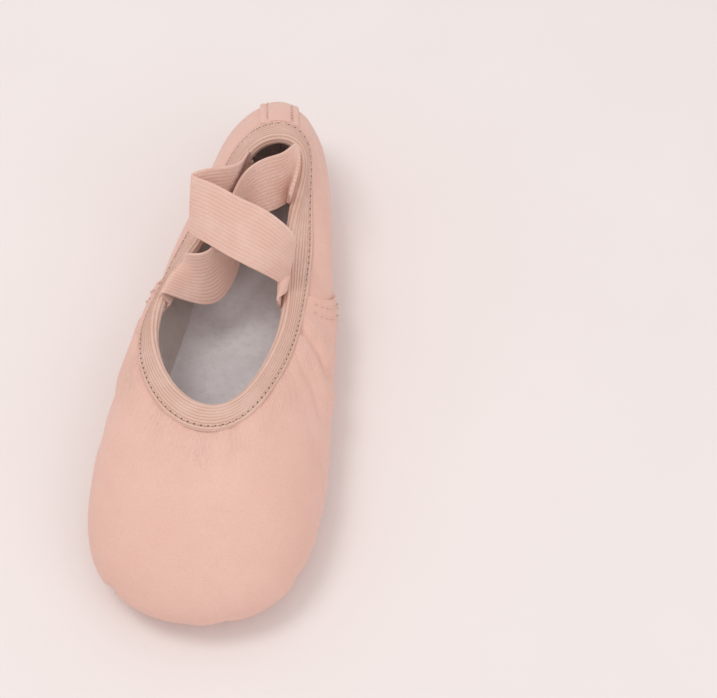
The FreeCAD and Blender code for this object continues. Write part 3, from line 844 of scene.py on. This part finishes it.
def flat_profile(bottom, top, round_off=0.3):
    """Section of a plain layer with softly rounded edges."""
    inside = [(inset, top) for inset in (SPINE, SPINE - 0.7, SPINE - 1.4, DEEP, 5.0, 3.0, 1.5)]
    turns = np.linspace(0, PI / 2, 4)
    upper = [(round_off * (1 - np.sin(turn)), top - round_off * (1 - np.cos(turn))) for turn in turns]
    lower = [(inset, bottom + top - height) for inset, height in reversed(upper)]
    return inside + upper + lower + [(inset, bottom) for inset, _ in reversed(inside)]


CHANNEL_INSET = 3.0
CHANNEL_HALF = 0.6
CHANNEL_DEPTH = 0.7
OUTSOLE_BASE = 0.06


def outsole_section():
    """Split-suede sole: rounded at its edge, with a channel underneath for the thread."""
    bottom, top = OUTSOLE_BASE, OUTSOLE[1]
    upper = [(SPINE, top), (SPINE - 1.0, top), (DEEP, top), (4.0, top), (1.5, top)]
    edge = [(0.9 * (1 - np.cos(turn)), (bottom + top) / 2 + (top - bottom) / 2 * np.sin(turn))
            for turn in np.linspace(PI / 2, -PI / 2, 11)]
    near, far = CHANNEL_INSET - CHANNEL_HALF, CHANNEL_INSET + CHANNEL_HALF
    under = [(1.6, bottom), (near - 0.25, bottom), (near, bottom + 0.12)]
    under += [(CHANNEL_INSET - CHANNEL_HALF * np.cos(turn), bottom + CHANNEL_DEPTH * np.sin(turn))
              for turn in np.linspace(0.25, PI - 0.25, 7)]
    under += [(far, bottom + 0.12), (far + 0.25, bottom), (4.4, bottom), (5.6, bottom), (DEEP, bottom),
              (SPINE - 1.4, bottom), (SPINE - 0.7, bottom), (SPINE, bottom)]
    return upper + edge + under


outsole = plate("outsole", outsole_section())
finish_piece(outsole, SOLE_PAINT, ["outsole_forepart", "outsole_rear"])
board = plate("insole_board", flat_profile(*BOARD))
finish_piece(board, BOARD_PAINT, ["insole_board_forepart", "insole_board_rear"])
foam = plate("foam_pad", flat_profile(*FOAM, round_off=0.4), 0.2)
finish_piece(foam, FOAM_PAINT, ["foam_pad_forepart", "foam_pad_rear"])


def sock_relief(points, inset):
    """The sock's surface: trodden a little at heel and ball, and turned up where it meets the wall."""
    x, y = points[..., 0], points[..., 1]
    top = points[..., 2] > SOCK[0] + 0.5
    relief = 0.16 * smooth_noise(x / 9, y / 11, 71) + 0.08 * smooth_noise(x / 3.5, y / 4, 72)
    tread = bump(np.hypot(x / 1.1, y - 52), 20) + 0.8 * bump(np.hypot(x / 1.2, y + 38), 24)
    return (relief - 0.25 * tread) * np.where(top, 1.0, 0.0) * smoothstep(0.0, 2.5, inset)


SOCK_SPREAD = 0.47


def sock_section():
    """The sock lining, cupped up the wall at its edge."""
    bottom, top = SOCK
    upper = [(SPINE - step, top) for step in np.linspace(0, SPINE - DEEP, 12, endpoint=False)]
    upper += [(inset, top) for inset in (7.0, 6.0, 5.0, 4.0, 3.0, 2.2, 1.5, 0.9)]
    rim = [(0.45, top + 0.03), (0.1, top - 0.08), (0.0, top - 0.25), (0.0, bottom + 0.2), (0.15, bottom)]
    lower = [(inset, bottom) for inset in (1.0, 2.0, 4.0, DEEP, SPINE - 1.0, SPINE)]
    return upper + rim + lower


sock = plate("sock_lining", sock_section(), SOCK_SPREAD, sock_relief)
finish_piece(sock, SOCK_PAINT, ["sock_lining_forepart", "sock_lining_rear"])

# Thread in the outsole's channel.
phi = np.linspace(-PI, PI, 721)
x, y = outline(SOLE, phi, CHANNEL_INSET)
line = np.stack([x, y, np.full_like(x, OUTSOLE_BASE + 0.3)], -1)
down = np.tile([0.0, 0.0, -1.0], (len(phi), 1))
sole_thread, _ = stitches("outsole_thread", [(line, down)], 4.0, 0.8, 0.28, 0.12)
finish_piece(sole_thread, SOLE_THREAD, ["outsole_thread_forepart", "outsole_thread_rear"])


# ---------------------------------------------------------------- binding
FOLD_RADIUS = (INSIDE_DEPTH + GAP) / 2
FLAT_EDGE = 2.7
RIB_HEIGHT = 0.26
BINDING_STITCH_DEPTH = BINDING_OUTER - 1.7
BINDING_PITCH = 2.2


def fold(phi):
    """Centre of the band's fold over the opening's edge, the outward direction there, and the way
    out of the wall."""
    edge = upper_surface(phi, 2.0)
    out = outward(phi, 2.0)
    along = unit(upper_surface(phi + 0.001, 2.0) - upper_surface(phi - 0.001, 2.0))
    onward = unit(np.cross(out, along))
    wrong = np.sum((edge - upper_surface(phi, 1.99)) * onward, -1, keepdims=True) < 0
    onward = np.where(wrong, -onward, onward)
    return edge - out * (FOLD_RADIUS - GAP) + onward * GAP, out, onward


def round_fold(phi, radius, turn):
    """Point at this radius round the fold: turn 0 is outside the upper, pi inside it."""
    centre, out, onward = fold(phi)
    radius, turn = np.asarray(radius)[..., None], np.asarray(turn)[..., None]
    return centre + out * radius * np.cos(turn) + onward * radius * np.sin(turn)


def band(phi, travel, offset):
    """Points on the band, by their travel from its outer edge over the fold to its inner edge."""
    phi, travel, offset = np.broadcast_arrays(phi, travel, offset)
    arc = PI * (FOLD_RADIUS + BINDING / 2)
    outside = np.maximum(BINDING_OUTER - travel, 0)
    inside = np.maximum(travel - BINDING_OUTER - arc, 0)
    turn = np.clip((travel - BINDING_OUTER) / arc, 0, 1) * PI
    outer_points = layer(phi, level_below(phi[:, 0], outside), -GAP - offset)
    inner_points = layer(phi, level_below(phi[:, 0], inside), INSIDE_DEPTH + offset)
    points = round_fold(phi, FOLD_RADIUS + offset, turn)
    points = np.where((travel < BINDING_OUTER)[..., None], outer_points, points)
    return np.where((travel > BINDING_OUTER + arc)[..., None], inner_points, points)


band_width = BINDING_OUTER + PI * (FOLD_RADIUS + BINDING / 2) + BINDING_INNER
travel = np.arange(0, band_width, 0.16)[None, :]
phi = np.linspace(-PI, PI, 900, endpoint=False)[:, None]
edge_line = upper_surface(phi[:, 0], 1.9)
edge_steps = np.linalg.norm(np.roll(edge_line, -1, axis=0) - edge_line, axis=-1)
around = np.concatenate([[0], np.cumsum(edge_steps)[:-1]])[:, None] + 0 * travel
ribbed = smoothstep(FLAT_EDGE - 0.15, FLAT_EDGE + 0.25, travel)
rib = np.abs(np.sin((travel - FLAT_EDGE) / RIB_PITCH * PI)) ** 0.45 - 0.6
swell = 0.07 * smooth_noise(around / 5, travel / 4, 81) + 0.05 * smooth_noise(around / 1.6, travel / 2, 82)
pull = bump(np.mod(around, BINDING_PITCH) - BINDING_PITCH / 2, 0.45) * bump(travel - 1.7, 0.6)
offset = BINDING + RIB_HEIGHT * rib * ribbed - 0.12 * (1 - ribbed) + swell - 0.22 * pull
lip = np.clip(np.minimum(travel, band_width - travel) / 0.45, 0, 1)
offset = 0.12 + (offset - 0.12) * np.sqrt(1 - (1 - lip) ** 2)
outer = band(phi, travel, offset)
inner = band(phi, travel, np.full_like(offset, 0.04))
binding = shell("topline_binding", outer, inner, np.stack([around, travel - FLAT_EDGE + 0 * around], -1),
                closed_rows=True)
finish_piece(binding, BINDING_PAINT, ["topline_binding"])

phi = np.linspace(-PI + 0.02, PI - 0.02, 721)
level = level_below(phi, np.full((len(phi), 1), BINDING_STITCH_DEPTH))[:, 0]
line = layer(phi, level, np.full(len(phi), -GAP - BINDING + 0.12))
row = (line, outward(phi, level))
sew("binding_thread", "binding_needle_holes", [row], BINDING_PITCH, 0.62, 0.2, 0.2, 0.34)


# ---------------------------------------------------------------- seams
SEAM_PITCH = 2.5
SEAM_ROWS = (2.4, 5.0)
seam_levels = np.linspace(0.25, 1.72, 90)
for side, sign in (("right", 1), ("left", -1)):
    rows = []
    for row in SEAM_ROWS:
        phi = sign * (side_seam(seam_levels) - np.radians(row))
        rise = OVERLAP_RISE * smoothstep(6.0, 9.0, arc_below(phi, seam_levels))
        line = layer(phi, seam_levels, -(rise * smoothstep(0.05, 0.35, seam_levels) - 0.05))
        rows.append((line, outward(phi, seam_levels)))
    sew("side_seam_thread_" + side, "side_seam_holes_" + side, rows, SEAM_PITCH, 0.7, 0.36, 0.42, 0.44,
        "rearfoot")

BACKSTAY_WIDTH = 13.0
BACKSTAY_TOP = level_below(np.array([PI]), np.array([[BINDING_OUTER - 0.4]]))[0, 0]
BACKSTAY_ROW = 0.62
stay_levels = np.linspace(0.1, BACKSTAY_TOP, 130)
step = np.radians(1)
per_turn = np.linalg.norm(upper_surface(PI + step, stay_levels) - upper_surface(PI - step, stay_levels),
                          axis=-1) / (2 * step)
half_turn = BACKSTAY_WIDTH / 2 / per_turn
place = np.linspace(-1, 1, 61)[:, None]
phi_grid = PI + place * half_turn[None, :]
level_grid = np.broadcast_to(stay_levels[None, :], phi_grid.shape)
raised = 0.25 * bump(np.abs(place) - 0.86, 0.14) - 0.3 * bump(np.abs(place) - BACKSTAY_ROW, 0.09)
raised = raised + 0.12 * bump(place, 0.4)
around = place * BACKSTAY_WIDTH / 2 + 0 * level_grid
upward = level_grid * MM_PER_LEVEL
raised = raised + 0.1 * smooth_noise(around / 4, upward / 5, 91)
lip = np.clip((1 - np.abs(place)) / 0.06, 0, 1)
height = 0.1 + (0.85 + raised) * np.sqrt(np.clip(1 - (1 - lip) ** 2, 0.02, 1))
height = height * (0.12 + 0.88 * smoothstep(0.1, 0.3, level_grid))
outer = layer(phi_grid, level_grid, -height)
inner = layer(phi_grid, level_grid, 0 * height - 0.03)
backstay = shell("backstay", outer, inner, np.stack([around, upward], -1))
finish_piece(backstay, LEATHER_PAINT, ["backstay"], "rearfoot")
rows = []
for side in (-1, 1):
    phi = PI + side * half_turn * BACKSTAY_ROW
    line = layer(phi, stay_levels, -0.68 * smoothstep(0.1, 0.3, stay_levels))
    rows.append((line[12:-2], outward(phi, stay_levels)[12:-2]))
sew("backstay_thread", "backstay_holes", rows, SEAM_PITCH, 0.7, 0.24, 0.28, 0.34, "rearfoot")


# ---------------------------------------------------------------- straps
STRAP_DEPTH = INSIDE_DEPTH + BINDING + GAP
STRAP_END_LEVELS = (1.66, 1.97)
STRAP_CLEARANCE = 0.35
STRAP_RIB_HEIGHT = 0.11
SELVEDGE = 0.6


def turn_for_length(phi, length):
    step = np.radians(1)
    across = np.linalg.norm(upper_surface(phi + step, 2.0) - upper_surface(phi - step, 2.0)) / 2
    return length / across * step


def natural_spline(rows, count):
    """Smooth curve through evenly timed rows of points, at this many even times."""
    n = len(rows)
    matrix = np.eye(n)
    target = np.zeros_like(rows)
    for i in range(1, n - 1):
        matrix[i, i - 1:i + 2] = (1, 4, 1)
        target[i] = 6 * (rows[i + 1] - 2 * rows[i] + rows[i - 1])
    bend = np.linalg.solve(matrix, target.reshape(n, -1)).reshape(rows.shape)
    at = np.linspace(0, n - 1, count)
    i = np.minimum(at.astype(int), n - 2)
    b = (at - i).reshape((-1,) + (1,) * (rows.ndim - 1))
    a = 1 - b
    return (a * rows[i] + b * rows[i + 1]
            + ((a ** 3 - a) * bend[i] + (b ** 3 - b) * bend[i + 1]) / 6)


def anchor_rows(phi):
    """Rows across a strap where it comes out of the slipper, round the binding's fold."""
    half = turn_for_length(phi, STRAP_WIDTH / 2)
    radius = FOLD_RADIUS + BINDING + STRAP / 2 + STRAP_CLEARANCE
    turns = phi + np.linspace(-half, half, 5) * (1 if phi > 0 else -1)
    rows = [round_fold(turns, np.full(5, radius), np.full(5, np.radians(angle))) for angle in (180, 145, 110)]
    return rows + [round_fold(turns, np.full(5, radius), np.full(5, np.radians(95))) + np.array([0, 0, 4.0])]


def ribbed_offset(along, across, seed):
    """Half the strap's thickness, with its ribs."""
    rib = np.abs(np.cos(across / STRAP_RIB_PITCH * PI)) ** 0.35
    edge = STRAP_WIDTH / 2 - np.abs(across)
    selvedge = 1 - smoothstep(SELVEDGE * 0.6, SELVEDGE * 1.4, edge)
    offset = STRAP / 2 - STRAP_RIB_HEIGHT + STRAP_RIB_HEIGHT * (rib * (1 - selvedge) + 0.5 * selvedge)
    offset = offset + 0.04 * smooth_noise(along / 3, across / 3, seed)
    lip = np.clip(edge / 0.35, 0, 1)
    return offset * np.sqrt(np.clip(1 - (1 - lip) ** 2, 0.03, 1))


def strap_surface(first_phi, stations, last_phi, rows_count, columns, seed):
    """Middle surface, normals and cloth lengths of a strap through its stations."""
    rows = anchor_rows(first_phi)
    for place, across in stations:
        across = unit(np.array(across))
        side = np.linspace(-1, 1, 5)[:, None] * STRAP_WIDTH / 2
        rows.append(np.array(place) + across * side)
    rows = np.array(rows + anchor_rows(last_phi)[::-1])
    middle = natural_spline(rows, rows_count)
    middle = natural_spline(middle.transpose(1, 0, 2), columns).transpose(1, 0, 2)
    normals = unit(np.cross(np.gradient(middle, axis=0), np.gradient(middle, axis=1)))
    centre = middle[:, columns // 2]
    along = np.concatenate([[0], np.cumsum(np.linalg.norm(np.diff(centre, axis=0), axis=1))])
    across = np.linspace(-STRAP_WIDTH / 2, STRAP_WIDTH / 2, columns)
    along, across = np.broadcast_arrays(along[:, None], across[None, :])
    sway = 0.12 * smooth_noise(along / 9, across / 8, seed)
    return middle + normals * sway[..., None], normals, along, across


def strap_halves(name, first_phi, stations, last_phi, seed):
    """A strap in two halves that meet at its middle."""
    middle, normals, along, across = strap_surface(first_phi, stations, last_phi, 321, 151, seed)
    outer_offset = ribbed_offset(along, across, seed)[..., None]
    inner_offset = ribbed_offset(along, across, seed + 1)[..., None]
    outer, inner = middle + normals * outer_offset, middle - normals * inner_offset
    weave = np.stack([along, across], -1)
    half = len(middle) // 2
    anchors = (middle[0, 75], middle[-1, 75])
    parts = (("rear", slice(0, half + 1), anchors[0]), ("front", slice(half, None), anchors[1]))
    for part, rows, anchor in parts:
        piece = shell(name + "_" + part, outer[rows], inner[rows], weave[rows])
        piece.data.materials.append(STRAP_PAINT)
        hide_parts(name)
        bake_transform(piece)


def upright(phi, level):
    """Angle straight below the opening's edge at phi, seen from the side."""
    target = upper_surface(phi, 2.0)[1]
    tries = np.linspace(phi * 0.8, phi * 1.2, 400)
    places = upper_surface(tries, np.full(400, level))[:, 1]
    return tries[np.argmin(np.abs(places - target))]


def sewn_end(name, phi, seed):
    half = turn_for_length(phi, STRAP_WIDTH / 2)
    level = np.linspace(STRAP_END_LEVELS[0], STRAP_END_LEVELS[1], 40)
    middle = np.array([upright(phi, one) for one in level])
    middle = natural_spline(middle[::13][:, None], 40)[:, 0]
    across = np.linspace(-1, 1, 151)
    phi_grid = middle[None, :] + across[:, None] * half
    level_grid = np.broadcast_to(level[None, :], phi_grid.shape)
    across = np.broadcast_to(across[:, None] * STRAP_WIDTH / 2, phi_grid.shape)
    along = level_grid * MM_PER_LEVEL
    thick = 2 * ribbed_offset(along, across, seed)
    lip = np.clip((level_grid - STRAP_END_LEVELS[0]) / 0.02, 0, 1)
    thick = thick * np.sqrt(np.clip(1 - (1 - lip) ** 2, 0.05, 1))
    outer = layer(phi_grid, level_grid, np.full(phi_grid.shape, STRAP_DEPTH))
    inner = layer(phi_grid, level_grid, STRAP_DEPTH + thick)
    piece = shell(name, outer, inner, np.stack([along, across], -1))
    finish_piece(piece, STRAP_PAINT, [name], "rearfoot")


STRAP_END_ANGLES = np.radians((-140, 95, 145, -91))
# Stations of each strap's middle line, the same as the frame's: a place and the direction across.
STRAP_A = (((-5.1, 44.6, 44.0), (0.21, 0.41, 0.89)),
           ((-11.1, 39.0, 47.0), (0.13, 0.49, 0.86)),
           ((-16.7, 34.4, 48.0), (0.02, 0.60, 0.80)),
           ((-10.0, 29.8, 49.5), (0.04, 0.79, 0.61)),
           ((-0.5, 24.6, 50.0), (0.10, 0.79, 0.61)),
           ((8.6, 22.2, 47.0), (0.11, 0.79, 0.61)),
           ((17.1, 19.2, 40.5), (0.17, 0.38, 0.91)))
STRAP_B = (((11.0, 52.0, 42.5), (-0.04, 0.35, 0.93)),
           ((5.8, 48.2, 42.5), (-0.05, 0.49, 0.87)),
           ((0.1, 44.7, 41.5), (-0.01, 0.38, 0.92)),
           ((-2.7, 40.5, 38.0), (-0.10, 0.20, 0.98)),
           ((-4.0, 32.7, 34.5), (-0.20, -0.04, 0.98)),
           ((-6.1, 21.2, 33.0), (-0.31, -0.02, 0.95)),
           ((-13.3, 16.0, 32.0), (-0.31, 0.45, 0.84)))
strap_halves("strap_a", STRAP_END_ANGLES[0], STRAP_A, STRAP_END_ANGLES[1], 101)
strap_halves("strap_b", STRAP_END_ANGLES[2], STRAP_B, STRAP_END_ANGLES[3], 103)
end_names = ("strap_a_rear_end", "strap_a_front_end", "strap_b_rear_end", "strap_b_front_end")
rows = []
for index, (name, phi) in enumerate(zip(end_names, STRAP_END_ANGLES)):
    sewn_end(name, phi, 111 + index)
    half = turn_for_length(phi, STRAP_WIDTH / 2 - 1.5)
    for level in (STRAP_END_LEVELS[0] + 0.05, STRAP_END_LEVELS[1] - 0.08):
        turns = upright(phi, level) + np.linspace(-half, half, 41)
        level_row = np.full(41, level)
        line = layer(turns, level_row, np.full(41, STRAP_DEPTH + STRAP))
        rows.append((line, -outward(turns, level_row)))
thread, _ = stitches("strap_end_thread", rows, SEAM_PITCH, 0.7, 0.22, 0.25)
finish_piece(thread, UPPER_THREAD, ["strap_end_thread"], "rearfoot")


# ---------------------------------------------------------------- foil marks under the sole
def foil_marks(name):
    """A plain ring of stamped dots and dashes."""
    centre = np.array([0.0, 34.0])
    points = []
    faces = []
    sides = 14
    for k in range(24):
        turn = 2 * PI * k / 24
        out = np.array([np.cos(turn), np.sin(turn)])
        along = np.array([-out[1], out[0]])
        length, width = (0.95, 0.32) if k % 2 else (0.42, 0.42)
        ring_centre = centre + out * 7.0
        base = len(points)
        for height in (OUTSOLE_BASE - 0.045, OUTSOLE_BASE + 0.05):
            for s in range(sides):
                angle = 2 * PI * s / sides
                flat = ring_centre + along * length * np.cos(angle) + out * width * np.sin(angle)
                points.append((flat[0], flat[1], height))
        faces.append(tuple(base + s for s in range(sides)))
        faces.append(tuple(base + sides + s for s in reversed(range(sides))))
        for s in range(sides):
            n = (s + 1) % sides
            faces.append((base + s, base + sides + s, base + sides + n, base + n))
    return mesh_object(name, np.array(points), faces, sharp=40)


foil = foil_marks("foil_marks")
finish_piece(foil, FOIL_PAINT, (), "rearfoot")

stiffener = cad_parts["heel_stiffener"]
for slot in stiffener.material_slots:
    slot.material = STIFFENER_PAINT


# ---------------------------------------------------------------- floor, light and camera
def floor_paint():
    paint = Paint("floor", 0.7, on_node=True, Specular_IOR_Level=0.2)
    paint.colour(paint.mix(paint.noise(60, 3), rgb(238, 229, 227), rgb(242, 234, 232)))
    paint.bump(paint.noise(3, 3), 0.03)
    return paint.material


FLOOR_REACH = 3.0
mesh = bpy.data.meshes.new("floor")
corners = [(FLOOR_REACH * x, FLOOR_REACH * y, 0) for x, y in ((-1, -1), (1, -1), (1, 1), (-1, 1))]
mesh.from_pydata(corners, [], [(0, 1, 2, 3)])
floor = bpy.data.objects.new("floor", mesh)
bpy.context.scene.collection.objects.link(floor)
mesh.materials.append(floor_paint())


def soft_light(name, place, aim, width, power, tint=(1.0, 1.0, 1.0)):
    lamp = bpy.data.lights.new(name, "AREA")
    lamp.shape = "DISK"
    lamp.size = width
    lamp.energy = power
    lamp.color = tint
    holder = bpy.data.objects.new(name, lamp)
    holder.location = place
    holder.rotation_euler = (Vector(aim) - Vector(place)).to_track_quat("-Z", "Y").to_euler()
    bpy.context.scene.collection.objects.link(holder)


soft_light("key_light", (-0.3, -0.05, 0.95), (0, 0, 0.02), 0.4, 2.2, (1.0, 0.985, 0.97))
soft_light("fill_light", (0.7, -0.5, 0.8), (0, 0, 0.02), 0.9, 1.6, (0.98, 0.99, 1.0))
world = bpy.data.worlds.new("studio")
world.use_nodes = True
world.node_tree.nodes["Background"].inputs["Color"].default_value = (1.0, 0.98, 0.975, 1.0)
world.node_tree.nodes["Background"].inputs["Strength"].default_value = 0.76
bpy.context.scene.world = world
bpy.context.scene.view_settings.view_transform = "Standard"

# The photograph looks down on the toe, a little from the right, with the slipper left of centre.
AZIMUTH, ELEVATION, ROLL = np.radians((10.35, 57.28, -3.49))
TARGET = Vector((39.82, 5.89, 15.0)) * MM
DISTANCE = 0.6136
LENS = 95.4
back = Vector((np.sin(AZIMUTH) * np.cos(ELEVATION), -np.cos(AZIMUTH) * np.cos(ELEVATION), np.sin(ELEVATION)))
level_right = Vector((np.cos(AZIMUTH), np.sin(AZIMUTH), 0))
level_up = back.cross(level_right)
right = level_right * np.cos(ROLL) + level_up * np.sin(ROLL)
up = level_up * np.cos(ROLL) - level_right * np.sin(ROLL)
lens = bpy.data.cameras.new("camera")
lens.lens = LENS
lens.sensor_width = 36.0
camera = bpy.data.objects.new("camera", lens)
turned = Matrix((right, up, back)).transposed().to_4x4()
camera.matrix_world = Matrix.Translation(TARGET + back * DISTANCE) @ turned
bpy.context.scene.collection.objects.link(camera)
bpy.context.scene.camera = camera
